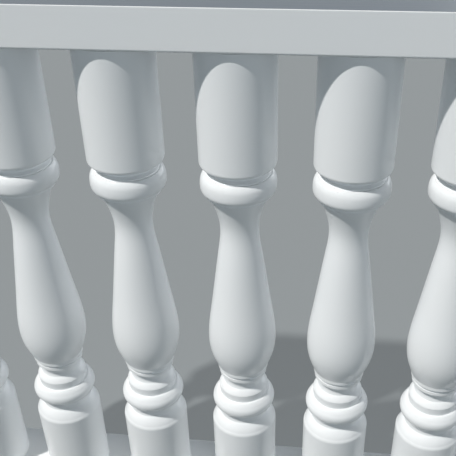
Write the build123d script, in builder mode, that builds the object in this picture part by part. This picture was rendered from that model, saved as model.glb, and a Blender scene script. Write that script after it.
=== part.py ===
"""A white metal balcony railing, in millimetres.

Seven spun aluminium balusters stand between a handrail and a foot rail, six whole bays.
X runs along the rails, Y points away from the terrace and Z is up. The origin is on the
underside of the foot rail, below the middle baluster.
"""

import math
import os

from build123d import *

os.makedirs("parts", exist_ok=True)

# Driving sizes of the whole railing
total_height = 1000.0
baluster_pitch = 174.0
baluster_count = 7
rail_width = 134.0
rail_height = 59.5
tube_radius = 60.0

# Sheet and plate thicknesses
rail_wall = 2.5
base_plate = 4.0
base_rib = 3.0
tube_wall = 2.5
cap_plate = 3.0
strip_plate = 2.0

# Handrail and foot rail
rail_length = baluster_count * baluster_pitch
top_round = 1.0
lip_round = 4.0
lip_return = 4.0
strip_edge = 2.0
rib_spread = 60.0
anchor_hole_radius = 5.5
anchor_spacing = 2.5 * baluster_pitch
anchor_row_spacing = 92.0

# Plugs at the two ends of each baluster
flange_height = 4.0
shadow_gap = 1.0
seat_step = 1.3
spigot_depth = 25.0
spigot_wall = 3.0
screw_hole_radius = 4.2

# Where things stand
handrail_bottom = total_height - rail_height
handrail_seat = handrail_bottom + rail_wall
tube_foot = rail_height + flange_height + shadow_gap
tube_head = handrail_seat - flange_height - shadow_gap
first_x = -(baluster_count - 1) * baluster_pitch / 2
baluster_places = [first_x + i * baluster_pitch for i in range(baluster_count)]

# The turned form, each radius and rise as a share of the tube's radius
foot_height = 0.169 * (tube_head - tube_foot)
head_height = 0.201 * (tube_head - tube_foot)
shoulder_round = 0.2 * tube_radius
low_groove_radius = 0.75 * tube_radius
ring_radius = 0.954 * tube_radius
ring_round = 0.295 * tube_radius
fillet_radius = 0.84 * tube_radius
fillet_drop = 0.02 * tube_radius
fillet_height = 0.06 * tube_radius
cushion_radius = 0.709 * tube_radius
cushion_top_radius = 0.60 * tube_radius
waist_radius = 0.58 * tube_radius
collar_radius = 0.691 * tube_radius
belly_radius = 0.981 * tube_radius
neck_radius = 0.526 * tube_radius
torus_round = 0.408 * tube_radius
high_groove_radius = 0.73 * tube_radius
head_round = 0.2 * tube_radius


def around(centre_r, centre_z, radius, degrees):
    """The point of a circle in the outline's plane at an angle above the horizontal."""
    angle = math.radians(degrees)
    return (centre_r + radius * math.cos(angle), centre_z + radius * math.sin(angle))


def arc(centre_r, centre_z, radius, start, end):
    """An arc of the outline about a centre, between two angles."""
    return ThreePointArc(
        around(centre_r, centre_z, radius, start),
        around(centre_r, centre_z, radius, (start + end) / 2),
        around(centre_r, centre_z, radius, end),
    )


def turned_outline(inset):
    """Half of a baluster's section, its skin moved inwards by inset all along."""
    radius = tube_radius - inset

    # Plain foot, its rounded shoulder and the groove above it
    foot_top = tube_foot + foot_height
    foot = Line((radius, tube_foot), (radius, foot_top))
    edge = arc(tube_radius - shoulder_round, foot_top, shoulder_round - inset, 0, 38)
    shoulder = ThreePointArc(
        edge @ 1,
        (0.885 * tube_radius - inset, foot_top + 0.27 * tube_radius - 0.4 * inset),
        (0.765 * tube_radius - inset, foot_top + 0.41 * tube_radius - 0.6 * inset),
    )

    # The ring above the groove, with a narrow fillet under it
    ring_z = foot_top + 0.947 * tube_radius
    ring = arc(ring_radius - ring_round, ring_z, ring_round - inset, -45, 35)
    fillet_low = (ring @ 0).Y - fillet_drop - fillet_height
    low_groove = Polyline(
        shoulder @ 1,
        (low_groove_radius - inset, foot_top + 0.45 * tube_radius),
        (low_groove_radius - inset, fillet_low - 0.06 * tube_radius),
        (fillet_radius - inset, fillet_low),
        (fillet_radius - inset, fillet_low + fillet_height),
        ring @ 0,
    )

    # The ring's sloping back and the cushion that sits on it
    cushion_z = ring_z + 0.56 * tube_radius
    back = ThreePointArc(
        ring @ 1,
        (0.855 * tube_radius - inset, ring_z + 0.27 * tube_radius),
        (0.77 * tube_radius - inset, ring_z + 0.395 * tube_radius),
    )
    quirk = Line(back @ 1, (cushion_radius - inset, cushion_z))
    cushion = ThreePointArc(
        quirk @ 1,
        (0.668 * tube_radius - inset, cushion_z + 0.14 * tube_radius),
        (cushion_top_radius - inset, cushion_z + 0.27 * tube_radius),
    )

    # The waist and the narrow collar under the belly
    collar_z = cushion_z + 0.534 * tube_radius
    waist = ThreePointArc(
        cushion @ 1,
        (waist_radius - inset, cushion_z + 0.37 * tube_radius),
        (0.63 * tube_radius - inset, collar_z - 0.04 * tube_radius),
    )
    collar = Polyline(
        waist @ 1,
        (collar_radius - inset, collar_z),
        (collar_radius - inset, collar_z + 0.168 * tube_radius),
    )

    # The plain head, its rounded lower edge, and the torus with a narrow fillet on each side
    head_foot = tube_head - head_height
    head_edge = arc(tube_radius - head_round, head_foot, head_round - inset, -90, 0)
    head = Line(head_edge @ 1, (radius, tube_head))
    torus_z = head_foot - 0.652 * tube_radius
    torus = arc(tube_radius - torus_round, torus_z, torus_round - inset, -46, 46)
    fillet = Polyline(
        (0.775 * tube_radius - inset, (torus @ 0).Y - fillet_drop - 1.35 * fillet_height),
        (fillet_radius - inset, (torus @ 0).Y - fillet_drop - fillet_height),
        (fillet_radius - inset, (torus @ 0).Y - fillet_drop),
        torus @ 0,
    )
    step_top = (torus @ 1).Y + 0.5 * fillet_height
    high_groove = Polyline(
        torus @ 1,
        (fillet_radius - inset, (torus @ 1).Y),
        (fillet_radius - inset, step_top),
        (high_groove_radius - inset, step_top + 0.045 * tube_radius),
        (high_groove_radius - inset, (head_edge @ 0).Y - fillet_drop),
        head_edge @ 0,
    )

    # Belly and neck in one flowing line
    low = collar @ 1
    span = (fillet @ 0).Y - low.Y
    Spline(
        low,
        (0.78 * tube_radius - inset, low.Y + 0.037 * span),
        (0.924 * tube_radius - inset, low.Y + 0.108 * span),
        (belly_radius - inset, low.Y + 0.22 * span),
        (0.871 * tube_radius - inset, low.Y + 0.377 * span),
        (0.586 * tube_radius - inset, low.Y + 0.715 * span),
        (neck_radius - inset, low.Y + 0.841 * span),
        (0.613 * tube_radius - inset, low.Y + 0.918 * span),
        fillet @ 0,
    )

    # Closed along the axis
    Polyline(head @ 1, (0, tube_head), (0, tube_foot), foot @ 0)


# One hollow baluster
with BuildPart() as baluster:
    with BuildSketch(Plane.XZ):
        with BuildLine():
            turned_outline(0)
        make_face()
    revolve(axis=Axis.Z)
    with BuildSketch(Plane.XZ):
        with BuildLine():
            turned_outline(tube_wall)
        make_face()
    revolve(axis=Axis.Z, mode=Mode.SUBTRACT)


def end_plug(seat_z, rim_z):
    """A cup-shaped plug: flange against the rail, a step for the tube's rim, a spigot in its bore."""
    away = 1 if rim_z > seat_z else -1
    flange_end = seat_z + away * flange_height
    spigot_end = rim_z + away * spigot_depth
    bore = tube_radius - tube_wall
    with BuildPart() as plug:
        with BuildSketch(Plane.XZ):
            with BuildLine():
                Polyline(
                    (0, seat_z),
                    (tube_radius, seat_z),
                    (tube_radius, flange_end),
                    (tube_radius - seat_step, flange_end),
                    (tube_radius - seat_step, rim_z),
                    (bore, rim_z),
                    (bore, spigot_end),
                    (bore - spigot_wall, spigot_end),
                    (bore - spigot_wall, flange_end),
                    (0, flange_end),
                    close=True,
                )
            make_face()
        revolve(axis=Axis.Z)
        with BuildSketch(Plane.XY.offset(min(seat_z, spigot_end))):
            Circle(screw_hole_radius)
        extrude(amount=abs(spigot_end - seat_z), mode=Mode.SUBTRACT)
    return plug.part


# Each baluster and its two plugs, bay by bay
head_plug = end_plug(handrail_seat, tube_head)
foot_plug = end_plug(rail_height, tube_foot)
for number, x in enumerate(baluster_places, start=1):
    place = Location((x, 0, 0))
    for name, shape in (
        ("baluster", baluster.part),
        ("head_plug", head_plug),
        ("foot_plug", foot_plug),
    ):
        piece = shape.moved(place)
        piece.label = f"{name}_{number}"
        export_step(piece, f"parts/{name}_{number}.step")



def rail_outline(bottom, top_corners, low_corners):
    """A rail's outer section, its two upper and two lower corners rounded."""
    with BuildSketch() as outline:
        with Locations((0, bottom)):
            Rectangle(rail_width, rail_height, align=(Align.CENTER, Align.MIN))
        fillet(outline.vertices().group_by(Axis.Y)[-1], top_corners)
        fillet(outline.vertices().group_by(Axis.Y)[0], low_corners)
    return outline.sketch


# Handrail cover: white, open below, with turned-in lips and a shallow seat for the grey strip
rail_start = Plane.YZ.offset(-rail_length / 2)
inner_width = rail_width - 2 * rail_wall
lip_opening = inner_width - 2 * lip_return
strip_width = rail_width - 2 * strip_edge
with BuildPart() as handrail_cover:
    with BuildSketch(rail_start):
        add(rail_outline(handrail_bottom, top_round, lip_round))
        with Locations((0, handrail_seat)):
            Rectangle(
                inner_width,
                rail_height - 2 * rail_wall - strip_plate,
                align=(Align.CENTER, Align.MIN),
                mode=Mode.SUBTRACT,
            )
        with Locations((0, handrail_bottom)):
            Rectangle(
                lip_opening,
                2 * rail_wall,
                align=(Align.CENTER, Align.MIN),
                mode=Mode.SUBTRACT,
            )
        with Locations((0, total_height)):
            Rectangle(
                strip_width,
                strip_plate,
                align=(Align.CENTER, Align.MAX),
                mode=Mode.SUBTRACT,
            )
    extrude(amount=rail_length)
handrail_cover.part.label = "handrail_cover"
export_step(handrail_cover.part, "parts/handrail_cover.step")

# Grey strip let into the top of the handrail
with BuildPart() as handrail_top_strip:
    with BuildSketch(rail_start):
        with Locations((0, total_height)):
            Rectangle(strip_width, strip_plate, align=(Align.CENTER, Align.MAX))
    extrude(amount=rail_length)
handrail_top_strip.part.label = "handrail_top_strip"
export_step(handrail_top_strip.part, "parts/handrail_top_strip.step")


def ribbed_base(bottom, top):
    """Section of a base profile: a flat plate with two upright ribs under the cover."""
    with Locations((0, bottom)):
        Rectangle(inner_width, base_plate, align=(Align.CENTER, Align.MIN))
    with Locations((-rib_spread / 2, bottom), (rib_spread / 2, bottom)):
        Rectangle(base_rib, top - bottom, align=(Align.CENTER, Align.MIN))


# Base profile inside the handrail: the head plugs are screwed up against it
with BuildPart() as handrail_base:
    with BuildSketch(rail_start):
        ribbed_base(handrail_seat, total_height - strip_plate - rail_wall)
    extrude(amount=rail_length)
    with BuildSketch(Plane.XY.offset(handrail_seat)):
        with Locations([(x, 0) for x in baluster_places]):
            Circle(screw_hole_radius)
    extrude(amount=base_plate, mode=Mode.SUBTRACT)
handrail_base.part.label = "handrail_base"
export_step(handrail_base.part, "parts/handrail_base.step")

# Foot rail cover: the handrail's outline upside down, with plain lips that stand on the coping
with BuildPart() as foot_rail_cover:
    with BuildSketch(rail_start):
        add(rail_outline(0, lip_round, top_round))
        Rectangle(
            inner_width,
            rail_height - rail_wall,
            align=(Align.CENTER, Align.MIN),
            mode=Mode.SUBTRACT,
        )
    extrude(amount=rail_length)
    with BuildSketch(Plane.XY.offset(rail_height - rail_wall)):
        with Locations([(x, 0) for x in baluster_places]):
            Circle(screw_hole_radius)
    extrude(amount=rail_wall, mode=Mode.SUBTRACT)
foot_rail_cover.part.label = "foot_rail_cover"
export_step(foot_rail_cover.part, "parts/foot_rail_cover.step")

# Base profile of the foot rail, anchored to the coping
with BuildPart() as foot_rail_base:
    with BuildSketch(rail_start):
        ribbed_base(0, rail_height - rail_wall)
    extrude(amount=rail_length)
    with BuildSketch(Plane.XY):
        with GridLocations(anchor_spacing, anchor_row_spacing, 3, 2):
            Circle(anchor_hole_radius)
    extrude(amount=base_plate, mode=Mode.SUBTRACT)
foot_rail_base.part.label = "foot_rail_base"
export_step(foot_rail_base.part, "parts/foot_rail_base.step")


def end_cap(name, side, bottom, outline):
    """A plate over a rail's end, with two tongues pushed in beside the ribs."""
    tongue_middle = (inner_width / 2 + rib_spread / 2) / 2
    tongue_height = 0.4 * rail_height
    with BuildPart() as cap:
        with BuildSketch(Plane.YZ.offset(side * rail_length / 2)):
            add(outline)
        extrude(amount=side * cap_plate)
        with BuildSketch(Plane.YZ.offset(side * rail_length / 2)):
            with Locations(
                (-tongue_middle, bottom + rail_height / 2),
                (tongue_middle, bottom + rail_height / 2),
            ):
                Rectangle(0.8 * (inner_width - rib_spread) / 2, tongue_height)
        extrude(amount=-side * 3 * cap_plate)
    cap.part.label = name
    export_step(cap.part, f"parts/{name}.step")


handrail_end = rail_outline(handrail_bottom, top_round, lip_round)
foot_rail_end = rail_outline(0, lip_round, top_round)
end_cap("handrail_cap_left", -1, handrail_bottom, handrail_end)
end_cap("handrail_cap_right", 1, handrail_bottom, handrail_end)
end_cap("foot_rail_cap_left", -1, 0, foot_rail_end)
end_cap("foot_rail_cap_right", 1, 0, foot_rail_end)
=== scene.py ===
"""A white metal balcony railing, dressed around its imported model.

The balusters are spun aluminium tubes and the rails are folded covers, all of them coated white.
Lengths are in metres. X runs along the rails, Y points away from the camera and Z is up.
"""

import math

import bmesh
import bpy
import numpy as np
from mathutils import Matrix, Vector


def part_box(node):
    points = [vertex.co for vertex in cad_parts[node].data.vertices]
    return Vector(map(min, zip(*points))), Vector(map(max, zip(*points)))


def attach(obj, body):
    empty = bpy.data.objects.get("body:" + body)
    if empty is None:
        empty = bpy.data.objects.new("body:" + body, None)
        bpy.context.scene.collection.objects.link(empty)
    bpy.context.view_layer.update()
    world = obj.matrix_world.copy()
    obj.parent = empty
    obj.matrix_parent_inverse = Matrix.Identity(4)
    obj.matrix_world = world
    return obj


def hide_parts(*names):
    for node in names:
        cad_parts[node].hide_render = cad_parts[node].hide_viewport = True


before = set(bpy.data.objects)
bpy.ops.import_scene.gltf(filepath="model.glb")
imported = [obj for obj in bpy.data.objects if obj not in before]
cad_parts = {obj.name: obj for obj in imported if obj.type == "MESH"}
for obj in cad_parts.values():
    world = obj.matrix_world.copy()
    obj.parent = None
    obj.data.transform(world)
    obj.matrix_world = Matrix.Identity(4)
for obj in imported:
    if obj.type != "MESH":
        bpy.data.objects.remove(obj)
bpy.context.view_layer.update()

MM = 0.001

# Sizes read from the frame
TUBE_LOW, TUBE_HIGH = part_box("baluster_4")
R = (TUBE_HIGH.x - TUBE_LOW.x) / 2
TUBE_FOOT = TUBE_LOW.z
TUBE_HEAD = TUBE_HIGH.z
HANDRAIL_LOW, HANDRAIL_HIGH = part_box("handrail_cover")
FOOT_RAIL_LOW, FOOT_RAIL_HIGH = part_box("foot_rail_cover")
BALUSTERS = sorted(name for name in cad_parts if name.startswith("baluster_"))

# Sheet thicknesses and small sizes that the boxes don't tell
TUBE_WALL = 2.5 * MM
RAIL_WALL = 2.5 * MM
LIP_RETURN = 4 * MM
LIP_ROUND = 4 * MM
TOP_ROUND = 1 * MM
STRIP_EDGE = 2 * MM
STRIP_PLATE = 2 * MM
FLANGE_HEIGHT = 4 * MM
SEAT_STEP = 1.3 * MM
SPIGOT_WALL = 3 * MM
SCREW_HOLE_RADIUS = 4.2 * MM
SOFT_EDGE = 0.4 * MM
CAP_EDGE = 0.8 * MM

# The turned form of a baluster, in shares of the tube's height or radius
FOOT_HEIGHT = 0.169 * (TUBE_HEAD - TUBE_FOOT)
HEAD_HEIGHT = 0.207 * (TUBE_HEAD - TUBE_FOOT)
SHOULDER_ROUND = 0.2 * R
LOW_GROOVE_RADIUS = 0.75 * R
LOW_GROOVE_RISE = 0.45 * R
LOW_GROOVE_FLANK = 0.06 * R
RING_RISE = 0.947 * R
RING_RADIUS = 0.954 * R
RING_ROUND = 0.295 * R
FILLET_RADIUS = 0.84 * R
FILLET_DROP = 0.02 * R
FILLET_HEIGHT = 0.06 * R
LEDGE_RADIUS = 0.733 * R
CUSHION_RISE = 0.56 * R
CUSHION_RADIUS = 0.74 * R
CUSHION_TOP_RADIUS = 0.60 * R
WAIST_RADIUS = 0.58 * R
COLLAR_RISE = 0.534 * R
COLLAR_RADIUS = 0.712 * R
COLLAR_GROOVE_RADIUS = 0.678 * R
BELLY_FILLET_RADIUS = 0.75 * R
BELLY_FOOT_RISE = 0.315 * R
BELLY_RADIUS = 0.981 * R
NECK_RADIUS = 0.526 * R
NECK_FILLET_RADIUS = 0.87 * R
NECK_FILLET_HEIGHT = 0.097 * R
TORUS_DROP = 0.653 * R
TORUS_LOW_ROUND = 0.2 * R
TORUS_FACE_ROUND = 0.8 * R
TORUS_ROUND = 0.345 * R
HIGH_GROOVE_RADIUS = 0.73 * R
HIGH_GROOVE_FLANK = 0.045 * R
HEAD_ROUND = 0.1 * R

# Where the round forms start and end, in degrees above the horizontal
SHOULDER_END = 38
RING_START, RING_END = -45, 35
TORUS_START, TORUS_FACE_START, TORUS_FACE_END, TORUS_END = -40, -5, 10, 45

# The plain floor under the railing
FLOOR_SPAN = 24
VEIL_SHARE = 0.45

# Where a Mix node takes its two colours and gives the mixed one
COLOUR_A, COLOUR_B, MIXED = 6, 7, 2

# How finely the round forms are drawn
AROUND_STEPS = 120
OUTSIDE_STEP = 1.8 * MM
INSIDE_STEP = 6 * MM
ROUND_SEGMENTS = 6
SHARP_TURN = math.radians(22)
SMOOTH_ANGLE = math.radians(38)
SAME_POINT = 0.001 * MM
SAME_PLACE = 0.01 * MM


def linear(colour):
    """An sRGB hex colour as linear red, green, blue and alpha."""
    parts = [int(colour[i : i + 2], 16) / 255 for i in (1, 3, 5)]
    return [c / 12.92 if c <= 0.04045 else ((c + 0.055) / 1.055) ** 2.4 for c in parts] + [1]


# Outlines, as points (radius, height)


def steps_for(length, step):
    """How many stretches a length is divided into."""
    return max(2, math.ceil(length / step))


def around(centre_r, centre_z, radius, degrees):
    """The point of a circle in the outline's plane at an angle above the horizontal."""
    angle = math.radians(degrees)
    return (centre_r + radius * math.cos(angle), centre_z + radius * math.sin(angle))


def arc(centre_r, centre_z, radius, start, end, step):
    """The points of an arc about a centre, between two angles in degrees."""
    count = steps_for(math.radians(abs(end - start)) * radius, step)
    turn = (end - start) / count
    return [around(centre_r, centre_z, radius, start + i * turn) for i in range(count + 1)]


def bow(start, through, end, step):
    """The points of a shallow arc after its start, on its way through one point to its end."""
    a, b, c = (complex(*p) for p in (start, through, end))
    turn = (c - a) / (b - a)
    centre = a + (b - a) * (turn - abs(turn) ** 2) / (turn - turn.conjugate())
    sweep = (c - centre) / (a - centre)
    angle = math.atan2(sweep.imag, sweep.real)
    count = steps_for(abs(a - c), step)
    spots = [centre + (a - centre) * complex(math.cos(angle * i / count), math.sin(angle * i / count))
             for i in range(1, count + 1)]
    return [(p.real, p.imag) for p in spots]


def flowing_line(knots, step):
    """A natural cubic through the knots, radius by height, as the points after the first knot."""
    r, z = np.array(knots).T
    gaps = np.diff(z)
    slopes = np.diff(r) / gaps
    system = np.eye(len(z))
    pull = np.zeros(len(z))
    for i in range(1, len(z) - 1):
        system[i, i - 1 : i + 2] = gaps[i - 1], 2 * (gaps[i - 1] + gaps[i]), gaps[i]
        pull[i] = 6 * (slopes[i] - slopes[i - 1])
    bends = np.linalg.solve(system, pull)
    points = []
    for i, gap in enumerate(gaps):
        count = steps_for(gap, step)
        for t in np.arange(1, count + 1) / count:
            lift = (t**3 - t) * bends[i + 1] + ((1 - t) ** 3 - (1 - t)) * bends[i]
            points.append((float(t * r[i + 1] + (1 - t) * r[i] + gap**2 / 6 * lift), float(z[i] + t * gap)))
    return points


def turned_outline(inset, step):
    """Half of a baluster's section from foot to head, its skin moved inwards by inset all along."""
    # Plain foot, its rounded shoulder and the groove above it
    foot_top = TUBE_FOOT + FOOT_HEIGHT
    points = [(R - inset, TUBE_FOOT)]
    points += arc(R - SHOULDER_ROUND, foot_top, SHOULDER_ROUND - inset, 0, SHOULDER_END, step)
    points += bow(
        points[-1],
        (0.885 * R - inset, foot_top + 0.27 * R - 0.4 * inset),
        (0.765 * R - inset, foot_top + 0.41 * R - 0.6 * inset),
        step,
    )

    # The ring above the groove, with a narrow fillet under it
    ring_z = foot_top + RING_RISE
    ring = arc(RING_RADIUS - RING_ROUND, ring_z, RING_ROUND - inset, RING_START, RING_END, step)
    fillet_low = ring[0][1] - FILLET_DROP - FILLET_HEIGHT
    points += [
        (LOW_GROOVE_RADIUS - inset, foot_top + LOW_GROOVE_RISE),
        (LOW_GROOVE_RADIUS - inset, fillet_low - LOW_GROOVE_FLANK),
        (FILLET_RADIUS - inset, fillet_low),
        (FILLET_RADIUS - inset, fillet_low + FILLET_HEIGHT),
    ]
    points += ring

    # The ring's sloping back, and the cushion that stands on it with an upright side and a crisp edge
    cushion_z = ring_z + CUSHION_RISE
    points += bow(
        ring[-1],
        (0.868 * R - inset, ring_z + 0.225 * R),
        (0.79 * R - inset, ring_z + 0.305 * R),
        step,
    )
    points.append((LEDGE_RADIUS - inset, ring_z + 0.315 * R))
    points.append((CUSHION_RADIUS - inset, cushion_z))
    points += bow(
        points[-1],
        (0.695 * R - inset, cushion_z + 0.08 * R),
        (CUSHION_TOP_RADIUS - inset, cushion_z + 0.18 * R),
        step,
    )

    # The waist and the narrow collar, then a fine groove and a fillet under the belly
    collar_z = cushion_z + COLLAR_RISE
    points += bow(
        points[-1],
        (WAIST_RADIUS - inset, cushion_z + 0.34 * R),
        (0.63 * R - inset, collar_z - 0.04 * R),
        step,
    )
    belly_foot = collar_z + BELLY_FOOT_RISE
    points += [
        (COLLAR_RADIUS - inset, collar_z),
        (COLLAR_RADIUS - inset, collar_z + 0.11 * R),
        (COLLAR_GROOVE_RADIUS - inset, collar_z + 0.125 * R),
        (COLLAR_GROOVE_RADIUS - inset, collar_z + 0.18 * R),
        (BELLY_FILLET_RADIUS - inset, collar_z + 0.2 * R),
        (BELLY_FILLET_RADIUS - inset, belly_foot),
    ]

    # The plain head, its rounded lower edge, and the torus with a narrow fillet on each side.
    # Three arcs that run into each other make the torus, fuller below than above.
    head_foot = TUBE_HEAD - HEAD_HEIGHT
    head_edge = arc(R - HEAD_ROUND, head_foot, HEAD_ROUND - inset, -90, 0, step)
    face_centre = (R - TORUS_FACE_ROUND, head_foot - TORUS_DROP)
    top_centre = around(*face_centre, TORUS_FACE_ROUND - TORUS_ROUND, TORUS_FACE_END)
    low_centre = around(*face_centre, TORUS_FACE_ROUND - TORUS_LOW_ROUND, TORUS_FACE_START)
    torus = arc(*low_centre, TORUS_LOW_ROUND - inset, TORUS_START, TORUS_FACE_START, step)
    torus += arc(*face_centre, TORUS_FACE_ROUND - inset, TORUS_FACE_START, TORUS_FACE_END, step)
    torus += arc(*top_centre, TORUS_ROUND - inset, TORUS_FACE_END, TORUS_END, step)
    torus_foot = torus[0][1] - FILLET_DROP
    torus_top = torus[-1][1]

    # Belly and neck in one flowing line, which starts inside the fillet under the belly
    neck_end = (0.775 * R - inset, torus_foot - NECK_FILLET_HEIGHT - 0.04 * R)
    low = collar_z + 0.168 * R
    span = neck_end[1] - low
    belly_and_neck = flowing_line(
        [
            (0.691 * R - inset, low),
            (0.78 * R - inset, low + 0.037 * span),
            (0.924 * R - inset, low + 0.108 * span),
            (BELLY_RADIUS - inset, low + 0.22 * span),
            (0.871 * R - inset, low + 0.379 * span),
            (0.586 * R - inset, low + 0.718 * span),
            (NECK_RADIUS - inset, low + 0.845 * span),
            (0.613 * R - inset, low + 0.922 * span),
            neck_end,
        ],
        2.5 * step,
    )
    points += [point for point in belly_and_neck if point[1] > belly_foot + 0.01 * R]
    points += [
        (NECK_FILLET_RADIUS - inset, torus_foot - NECK_FILLET_HEIGHT),
        (NECK_FILLET_RADIUS - inset, torus_foot),
    ]
    points += torus
    step_top = torus_top + 0.5 * FILLET_HEIGHT
    points += [
        (FILLET_RADIUS - inset, torus_top),
        (FILLET_RADIUS - inset, step_top),
        (HIGH_GROOVE_RADIUS - inset, step_top + HIGH_GROOVE_FLANK),
        (HIGH_GROOVE_RADIUS - inset, head_edge[0][1] - FILLET_DROP),
    ]
    points += head_edge
    points.append((R - inset, TUBE_HEAD))
    return points


# Drawing and shaping by hand tools


def trace(name, points):
    """A new closed outline, drawn from point to point, left in edit mode and all selected."""
    bpy.ops.object.select_all(action="DESELECT")
    bpy.ops.mesh.primitive_plane_add(size=MM, location=points[0])
    piece = bpy.context.active_object
    piece.name = piece.data.name = name
    bpy.ops.object.mode_set(mode="EDIT")
    bpy.ops.mesh.select_all(action="SELECT")
    bpy.ops.mesh.merge(type="CENTER")
    closed = list(points) + [points[0]]
    for here, there in zip(closed, closed[1:]):
        stretch = [b - a for a, b in zip(here, there)]
        bpy.ops.mesh.extrude_region_move(TRANSFORM_OT_translate={"value": stretch})
    bpy.ops.mesh.select_all(action="SELECT")
    bpy.ops.mesh.remove_doubles(threshold=SAME_POINT)
    return piece


def select_corners(piece, wanted):
    """In edit mode, selects the vertices that wanted says yes to, and nothing else."""
    bpy.ops.mesh.select_all(action="DESELECT")
    mesh = bmesh.from_edit_mesh(piece.data)
    for vertex in mesh.verts:
        if wanted(vertex):
            vertex.select_set(True)
    mesh.select_flush(True)
    bmesh.update_edit_mesh(piece.data)


def sharp(vertex):
    """Whether an outline turns sharply at a vertex."""
    one, other = (edge.other_vert(vertex).co - vertex.co for edge in vertex.link_edges)
    return one.angle(-other) > SHARP_TURN


def close_up(piece):
    """Merges what meets, turns the faces outwards and leaves edit mode with the piece at the origin.

    The normals are weighted by the faces' areas, so that a rounded edge doesn't change the light on a
    long face beside it.
    """
    bpy.ops.mesh.select_all(action="SELECT")
    bpy.ops.mesh.remove_doubles(threshold=SAME_POINT)
    bpy.ops.mesh.normals_make_consistent(inside=False)
    bpy.ops.object.mode_set(mode="OBJECT")
    bpy.ops.object.transform_apply(location=True, rotation=True, scale=True)
    bpy.ops.object.shade_smooth_by_angle(angle=SMOOTH_ANGLE)
    bpy.ops.object.modifier_add(type="WEIGHTED_NORMAL")
    weighted = piece.modifiers[-1]
    weighted.keep_sharp = True
    bpy.ops.object.modifier_apply(modifier=weighted.name)
    return piece


def spun(name, points):
    """A closed outline, its sharp corners softened as a coat softens them, spun about the upright axis."""
    piece = trace(name, [(r, 0, z) for r, z in points])
    select_corners(piece, sharp)
    bpy.ops.mesh.bevel(offset=SOFT_EDGE, segments=2, affect="VERTICES")
    bpy.ops.mesh.select_all(action="SELECT")
    bpy.ops.mesh.spin(
        steps=AROUND_STEPS,
        angle=2 * math.pi,
        center=(0, 0, 0),
        axis=(0, 0, 1),
        use_auto_merge=True,
    )
    return close_up(piece)


def folded(name, section, rounds, start, end):
    """A straight profile: a section drawn at start, its corners rounded, filled and drawn out to end.

    rounds gives a radius for each height whose outermost corners are rounded. The others get a soft edge.
    """
    piece = trace(name, [(start, y, z) for y, z in section])
    origin = piece.location.copy()
    edge = max(y for y, z in section)
    for height, radius in rounds.items():

        def is_round(vertex):
            place = vertex.co + origin
            return abs(abs(place.y) - edge) < SAME_PLACE and abs(place.z - height) < SAME_PLACE

        select_corners(piece, is_round)
        bpy.ops.mesh.bevel(offset=radius, segments=ROUND_SEGMENTS, affect="VERTICES")
    select_corners(piece, sharp)
    bpy.ops.mesh.bevel(offset=SOFT_EDGE, segments=2, affect="VERTICES")
    bpy.ops.mesh.select_all(action="SELECT")
    bpy.ops.mesh.edge_face_add()
    bpy.ops.mesh.extrude_region_move(TRANSFORM_OT_translate={"value": (end - start, 0, 0)})
    return close_up(piece)


def copied_to(piece, name, x):
    """A copy of a finished piece with its own mesh, moved along the rails."""
    bpy.ops.object.select_all(action="DESELECT")
    piece.select_set(True)
    bpy.context.view_layer.objects.active = piece
    bpy.ops.object.duplicate(linked=False)
    copy = bpy.context.active_object
    copy.name = copy.data.name = name
    copy.location.x = x
    bpy.ops.object.transform_apply(location=True, rotation=False, scale=False)
    return copy


def dress(piece, node, material):
    """Puts a piece in the place of its node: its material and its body."""
    piece.data.materials.clear()
    piece.data.materials.append(material)
    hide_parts(node)
    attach(piece, "root")


# Materials


def add_node(tree, kind, inputs=None, **settings):
    """One node with its settings. An input is a value, or another node's output to link from."""
    node = tree.nodes.new(kind)
    for key, value in settings.items():
        setattr(node, key, value)
    for key, value in (inputs or {}).items():
        if isinstance(value, bpy.types.NodeSocket):
            tree.links.new(value, node.inputs[key])
        else:
            node.inputs[key].default_value = value
    return node


def new_material(name, **surface):
    """A material with one surface shader, given its plain values. Returns it, its tree and the shader."""
    material = bpy.data.materials.new(name)
    material.use_nodes = True
    tree = material.node_tree
    shader = tree.nodes["Principled BSDF"]
    for key, value in surface.items():
        shader.inputs[key.replace("_", " ")].default_value = value
    return material, tree, shader


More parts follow.
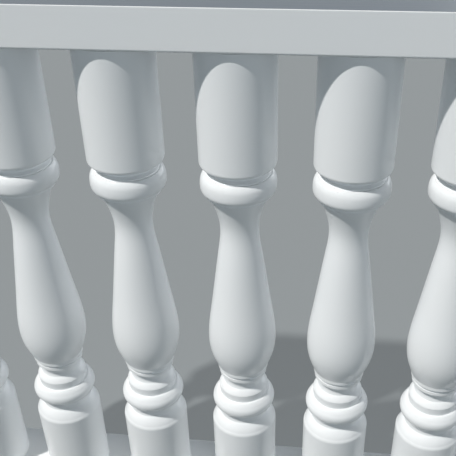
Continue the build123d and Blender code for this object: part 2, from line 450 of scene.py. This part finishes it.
def white_powder_coat():
    """Polyester powder coat, baked on aluminium: an even white body under a clear glossy skin.

    The film has a faint ripple like orange peel and a few dust specks caught in it.
    """
    material, tree, shader = new_material(
        "white_powder_coat",
        IOR=1.5,
        Specular_IOR_Level=0.2,
        Coat_Weight=0.6,
        Coat_Roughness=0.12,
        Coat_IOR=1.5,
    )
    place = add_node(tree, "ShaderNodeTexCoord").outputs["Object"]

    # Faint clouds in the white body, about 140 mm across
    clouds = add_node(tree, "ShaderNodeTexNoise", {"Vector": place, "Scale": 1 / (140 * MM), "Detail": 1.0})
    gloss = add_node(
        tree,
        "ShaderNodeMapRange",
        {"Value": clouds.outputs["Fac"], "From Min": 0.3, "From Max": 0.7, "To Min": 0.58, "To Max": 0.62},
    )
    tree.links.new(gloss.outputs["Result"], shader.inputs["Roughness"])

    # Dust specks under a millimetre across, about 75 mm apart
    spots = add_node(tree, "ShaderNodeTexVoronoi", {"Vector": place, "Scale": 1 / (75 * MM)})
    speck = add_node(
        tree,
        "ShaderNodeMapRange",
        {
            "Value": spots.outputs["Distance"],
            "From Min": 0.003,
            "From Max": 0.006,
            "To Min": 1.0,
            "To Max": 0.0,
        },
    )
    tint = add_node(
        tree,
        "ShaderNodeMix",
        {"Factor": clouds.outputs["Fac"], COLOUR_A: linear("#EFF1F2"), COLOUR_B: linear("#F1F2F2")},
        data_type="RGBA",
    )
    colour = add_node(
        tree,
        "ShaderNodeMix",
        {"Factor": speck.outputs["Result"], COLOUR_A: tint.outputs[MIXED], COLOUR_B: linear("#B4B1AB")},
        data_type="RGBA",
    )
    tree.links.new(colour.outputs[MIXED], shader.inputs["Base Color"])

    # Ripple of the baked film
    peel = add_node(tree, "ShaderNodeTexNoise", {"Vector": place, "Scale": 1 / (2.6 * MM), "Detail": 1.0})
    ripple = add_node(
        tree,
        "ShaderNodeBump",
        {"Height": peel.outputs["Fac"], "Strength": 1.0, "Distance": 0.02 * MM},
    )
    tree.links.new(ripple.outputs["Normal"], shader.inputs["Normal"])
    return material


def grey_powder_coat():
    """Satin grey powder coat on the flat strip, rubbed lengthwise by hands.

    Faint streaks run along it, a little darker or lighter and more or less glossy.
    """
    material, tree, shader = new_material("grey_powder_coat", IOR=1.5)
    place = add_node(tree, "ShaderNodeTexCoord").outputs["Object"]
    drawn_out = add_node(
        tree,
        "ShaderNodeMapping",
        {"Vector": place, "Scale": (1 / (260 * MM), 1 / (2.5 * MM), 1 / (2.5 * MM))},
    )
    streaks = add_node(
        tree, "ShaderNodeTexNoise", {"Vector": drawn_out.outputs["Vector"], "Scale": 1.0, "Detail": 3.0}
    )
    colour = add_node(
        tree,
        "ShaderNodeMix",
        {"Factor": streaks.outputs["Fac"], COLOUR_A: linear("#5A646E"), COLOUR_B: linear("#66707A")},
        data_type="RGBA",
    )
    tree.links.new(colour.outputs[MIXED], shader.inputs["Base Color"])
    gloss = add_node(
        tree,
        "ShaderNodeMapRange",
        {"Value": streaks.outputs["Fac"], "From Min": 0.3, "From Max": 0.7, "To Min": 0.33, "To Max": 0.42},
    )
    tree.links.new(gloss.outputs["Result"], shader.inputs["Roughness"])
    peel = add_node(tree, "ShaderNodeTexNoise", {"Vector": place, "Scale": 1 / (1.2 * MM), "Detail": 2.0})
    grain = add_node(
        tree,
        "ShaderNodeBump",
        {"Height": peel.outputs["Fac"], "Strength": 1.0, "Distance": 0.02 * MM},
    )
    tree.links.new(grain.outputs["Normal"], shader.inputs["Normal"])
    return material


def moulded_nylon():
    """White nylon of the plugs, moulded with a fine even grain that leaves it satin."""
    material, tree, shader = new_material("moulded_nylon", IOR=1.53, Roughness=0.45)
    place = add_node(tree, "ShaderNodeTexCoord").outputs["Object"]
    grain = add_node(tree, "ShaderNodeTexNoise", {"Vector": place, "Scale": 1 / (0.8 * MM), "Detail": 2.0})
    colour = add_node(
        tree,
        "ShaderNodeMix",
        {"Factor": grain.outputs["Fac"], COLOUR_A: linear("#E4E5E4"), COLOUR_B: linear("#ECECEA")},
        data_type="RGBA",
    )
    tree.links.new(colour.outputs[MIXED], shader.inputs["Base Color"])
    bump = add_node(
        tree,
        "ShaderNodeBump",
        {"Height": grain.outputs["Fac"], "Strength": 1.0, "Distance": 0.02 * MM},
    )
    tree.links.new(bump.outputs["Normal"], shader.inputs["Normal"])
    return material


def mill_aluminium():
    """Bare extruded aluminium of the base profiles, with fine die lines along its length."""
    material, tree, shader = new_material("mill_aluminium", Metallic=1.0)
    place = add_node(tree, "ShaderNodeTexCoord").outputs["Object"]
    drawn_out = add_node(
        tree,
        "ShaderNodeMapping",
        {"Vector": place, "Scale": (1 / (300 * MM), 1 / (0.9 * MM), 1 / (0.9 * MM))},
    )
    lines = add_node(
        tree, "ShaderNodeTexNoise", {"Vector": drawn_out.outputs["Vector"], "Scale": 1.0, "Detail": 3.0}
    )
    colour = add_node(
        tree,
        "ShaderNodeMix",
        {"Factor": lines.outputs["Fac"], COLOUR_A: linear("#B9BBBD"), COLOUR_B: linear("#CFD0D1")},
        data_type="RGBA",
    )
    tree.links.new(colour.outputs[MIXED], shader.inputs["Base Color"])
    gloss = add_node(
        tree,
        "ShaderNodeMapRange",
        {"Value": lines.outputs["Fac"], "From Min": 0.3, "From Max": 0.7, "To Min": 0.36, "To Max": 0.48},
    )
    tree.links.new(gloss.outputs["Result"], shader.inputs["Roughness"])
    bump = add_node(
        tree,
        "ShaderNodeBump",
        {"Height": lines.outputs["Fac"], "Strength": 1.0, "Distance": 0.02 * MM},
    )
    tree.links.new(bump.outputs["Normal"], shader.inputs["Normal"])
    return material


# Balusters and their plugs


def baluster_tube():
    """The hollow spun tube: up the outside, over the rim and down the inside."""
    inside = turned_outline(TUBE_WALL, INSIDE_STEP)
    return spun("tube", turned_outline(0, OUTSIDE_STEP) + inside[::-1])


def end_plug(name, node):
    """A cup-shaped plug: a flange against the rail, a step before the tube's rim and a spigot in its bore."""
    low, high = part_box(node)
    head_end = low.z > (TUBE_FOOT + TUBE_HEAD) / 2
    seat = high.z if head_end else low.z
    spigot_end = low.z if head_end else high.z
    rim = TUBE_HEAD if head_end else TUBE_FOOT
    flange_end = seat + (-FLANGE_HEIGHT if head_end else FLANGE_HEIGHT)
    bore = R - TUBE_WALL
    return spun(
        name,
        [
            (SCREW_HOLE_RADIUS, seat),
            (R, seat),
            (R, flange_end),
            (R - SEAT_STEP, flange_end),
            (R - SEAT_STEP, rim),
            (bore, rim),
            (bore, spigot_end),
            (bore - SPIGOT_WALL, spigot_end),
            (bore - SPIGOT_WALL, flange_end),
            (SCREW_HOLE_RADIUS, flange_end),
        ],
    )


def make_balusters(coat, nylon):
    """Each baluster and its two plugs, modelled once and copied from bay to bay."""
    models = (
        ("baluster", "baluster_skin", baluster_tube(), coat, "white_coat"),
        ("head_plug", "head_plug_skin", end_plug("head_end", "head_plug_4"), nylon, "plug_plastic"),
        ("foot_plug", "foot_plug_skin", end_plug("foot_end", "foot_plug_4"), nylon, "plug_plastic"),
    )
    for node, name, model, material, slot in models:
        for number in range(1, len(BALUSTERS) + 1):
            low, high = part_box(f"{node}_{number}")
            piece = copied_to(model, f"{name}_{number}", (low.x + high.x) / 2)
            dress(piece, f"{node}_{number}", material)
        bpy.data.objects.remove(model)


# Rails


def handrail_section():
    """The handrail cover from lip to lip, with the shallow seat of the strip in its top."""
    half = HANDRAIL_HIGH.y
    inner = half - RAIL_WALL
    lip = inner - LIP_RETURN
    edge = half - STRIP_EDGE
    bottom, top = HANDRAIL_LOW.z, HANDRAIL_HIGH.z
    seat = top - STRIP_PLATE
    return [
        (-lip, bottom),
        (-half, bottom),
        (-half, top),
        (-edge, top),
        (-edge, seat),
        (edge, seat),
        (edge, top),
        (half, top),
        (half, bottom),
        (lip, bottom),
        (lip, bottom + RAIL_WALL),
        (inner, bottom + RAIL_WALL),
        (inner, seat - RAIL_WALL),
        (-inner, seat - RAIL_WALL),
        (-inner, bottom + RAIL_WALL),
        (-lip, bottom + RAIL_WALL),
    ]


def foot_rail_section():
    """The foot rail cover, open below, on plain lips."""
    half = FOOT_RAIL_HIGH.y
    inner = half - RAIL_WALL
    bottom, top = FOOT_RAIL_LOW.z, FOOT_RAIL_HIGH.z
    return [
        (-half, bottom),
        (-half, top),
        (half, top),
        (half, bottom),
        (inner, bottom),
        (inner, top - RAIL_WALL),
        (-inner, top - RAIL_WALL),
        (-inner, bottom),
    ]


def make_rails(coat, grey):
    """The two covers and the strip."""
    start, end = HANDRAIL_LOW.x, HANDRAIL_HIGH.x
    rounds = {HANDRAIL_LOW.z: LIP_ROUND, HANDRAIL_HIGH.z: TOP_ROUND}
    cover = folded("handrail_cover_skin", handrail_section(), rounds, start, end)
    dress(cover, "handrail_cover", coat)

    low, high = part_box("handrail_top_strip")
    strip_section = [(low.y, low.z), (low.y, high.z), (high.y, high.z), (high.y, low.z)]
    strip = folded("handrail_strip_skin", strip_section, {}, low.x, high.x)
    dress(strip, "handrail_top_strip", grey)

    start, end = FOOT_RAIL_LOW.x, FOOT_RAIL_HIGH.x
    rounds = {FOOT_RAIL_HIGH.z: LIP_ROUND, FOOT_RAIL_LOW.z: TOP_ROUND}
    cover = folded("foot_rail_cover_skin", foot_rail_section(), rounds, start, end)
    dress(cover, "foot_rail_cover", coat)


def make_caps(coat):
    """The four plates that close the rails' ends, their outer rims rounded over."""
    for rail, rail_low, rail_high, low_round, high_round in (
        ("handrail", HANDRAIL_LOW, HANDRAIL_HIGH, LIP_ROUND, TOP_ROUND),
        ("foot_rail", FOOT_RAIL_LOW, FOOT_RAIL_HIGH, TOP_ROUND, LIP_ROUND),
    ):
        half = rail_high.y
        section = [(-half, rail_low.z), (-half, rail_high.z), (half, rail_high.z), (half, rail_low.z)]
        for side in ("left", "right"):
            low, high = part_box(f"{rail}_cap_{side}")
            start = rail_low.x if side == "left" else rail_high.x
            end = low.x if side == "left" else high.x
            rounds = {rail_low.z: low_round, rail_high.z: high_round}
            cap = folded(f"{rail}_cap_{side}_skin", section, rounds, start, end)
            bpy.ops.object.mode_set(mode="EDIT")
            select_corners(cap, lambda vertex: abs(vertex.co.x - end) < SAME_PLACE)
            bpy.ops.mesh.bevel(offset=CAP_EDGE, segments=3, affect="EDGES")
            close_up(cap)
            dress(cap, f"{rail}_cap_{side}", coat)


# Floor, light and camera


def seen_or_mirrored(tree):
    """One where a ray comes from the camera, a reflection or a clear pane, and nought for scattered light."""
    ray = add_node(tree, "ShaderNodeLightPath")
    either = add_node(
        tree,
        "ShaderNodeMath",
        {0: ray.outputs["Is Camera Ray"], 1: ray.outputs["Is Glossy Ray"]},
        operation="MAXIMUM",
    )
    return add_node(
        tree,
        "ShaderNodeMath",
        {0: either.outputs[0], 1: ray.outputs["Is Transmission Ray"]},
        operation="MAXIMUM",
    ).outputs[0]


def make_floor():
    """A wide plain pale floor under the railing, that throws little light back up at it.

    A veil of even light over the floor, where it is seen or mirrored, keeps the railing's shadow pale.
    """
    bpy.ops.object.select_all(action="DESELECT")
    bpy.ops.mesh.primitive_plane_add(size=FLOOR_SPAN, location=(0, 0, FOOT_RAIL_LOW.z))
    floor = bpy.context.active_object
    floor.name = "floor"
    material, tree, shader = new_material("pale_floor", Roughness=0.85)
    shader.inputs["Base Color"].default_value = linear("#8C9193")
    veil = add_node(tree, "ShaderNodeEmission", {"Color": linear("#9BA0A2"), "Strength": 1.0})
    pale = add_node(tree, "ShaderNodeMixShader", {0: VEIL_SHARE, 1: shader.outputs[0], 2: veil.outputs[0]})
    dull = add_node(tree, "ShaderNodeBsdfDiffuse", {"Color": linear("#585B56")})
    both = add_node(
        tree,
        "ShaderNodeMixShader",
        {0: seen_or_mirrored(tree), 1: dull.outputs[0], 2: pale.outputs[0]},
    )
    tree.links.new(both.outputs[0], tree.nodes["Material Output"].inputs["Surface"])
    floor.data.materials.append(material)


def make_light():
    """A key lamp from above on the left, two weak wide lamps from the right, and a pale surround.

    The surround is brightest up to the horizon and fades out above it. Each lamp's way is where its light
    goes, and its width is in degrees.
    """
    for name, way, energy, width, colour in (
        ("key", (1.3, 1.0, -2.29), 3.0, 2, (1.0, 0.985, 0.96)),
        ("fill", (-0.6, 1.0, -0.12), 0.3, 50, (0.92, 0.96, 1.0)),
        ("back_light", (-0.7, -1.0, -0.2), 1.0, 50, (0.92, 0.96, 1.0)),
    ):
        bpy.ops.object.light_add(type="SUN")
        lamp = bpy.context.active_object
        lamp.name = name
        lamp.rotation_euler = Vector(way).to_track_quat("-Z", "Y").to_euler()
        lamp.data.energy = energy
        lamp.data.angle = math.radians(width)
        lamp.data.color = colour

    world = bpy.data.worlds.new("surround")
    bpy.context.scene.world = world
    world.use_nodes = True
    tree = world.node_tree
    tree.nodes.clear()
    direction = add_node(tree, "ShaderNodeTexCoord").outputs["Generated"]
    parts = add_node(tree, "ShaderNodeSeparateXYZ", {"Vector": direction})
    strength = add_node(
        tree,
        "ShaderNodeMapRange",
        {"Value": parts.outputs["Z"], "From Min": 0.0, "From Max": 0.65, "To Min": 0.84, "To Max": 0.0},
    )
    glow = add_node(
        tree,
        "ShaderNodeBackground",
        {"Color": (0.74, 0.88, 1.0, 1), "Strength": strength.outputs["Result"]},
    )
    backdrop = add_node(tree, "ShaderNodeBackground", {"Color": linear("#DDE0E2"), "Strength": 1.0})
    both = add_node(
        tree,
        "ShaderNodeMixShader",
        {0: seen_or_mirrored(tree), 1: glow.outputs[0], 2: backdrop.outputs[0]},
    )
    add_node(tree, "ShaderNodeOutputWorld", {"Surface": both.outputs[0]})


def make_camera():
    """The camera stands a little right of the middle baluster and looks down over the handrail.

    Its place and turns were worked out from the balusters' outlines in the photo.
    """
    place = Vector((138.2, -1037.1, 1279.9)) * MM
    turned_left, tilted_down, rolled = 6.77, 35.58, -0.95
    bpy.ops.object.camera_add()
    camera = bpy.context.active_object
    camera.data.sensor_width = 36
    camera.data.lens = 60.2
    camera.data.shift_x = -0.048
    camera.data.shift_y = 0.114
    camera.matrix_world = (
        Matrix.Translation(place)
        @ Matrix.Rotation(math.radians(turned_left), 4, "Z")
        @ Matrix.Rotation(math.radians(90 - tilted_down), 4, "X")
        @ Matrix.Rotation(math.radians(rolled), 4, "Z")
    )
    bpy.context.scene.camera = camera
    bpy.context.scene.view_settings.view_transform = "Standard"


make_camera()
white_coat = white_powder_coat()
make_balusters(white_coat, moulded_nylon())
make_rails(white_coat, grey_powder_coat())
make_caps(white_coat)
bare_metal = mill_aluminium()
for name in ("handrail_base", "foot_rail_base"):
    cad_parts[name].data.materials.clear()
    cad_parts[name].data.materials.append(bare_metal)
make_floor()
make_light()
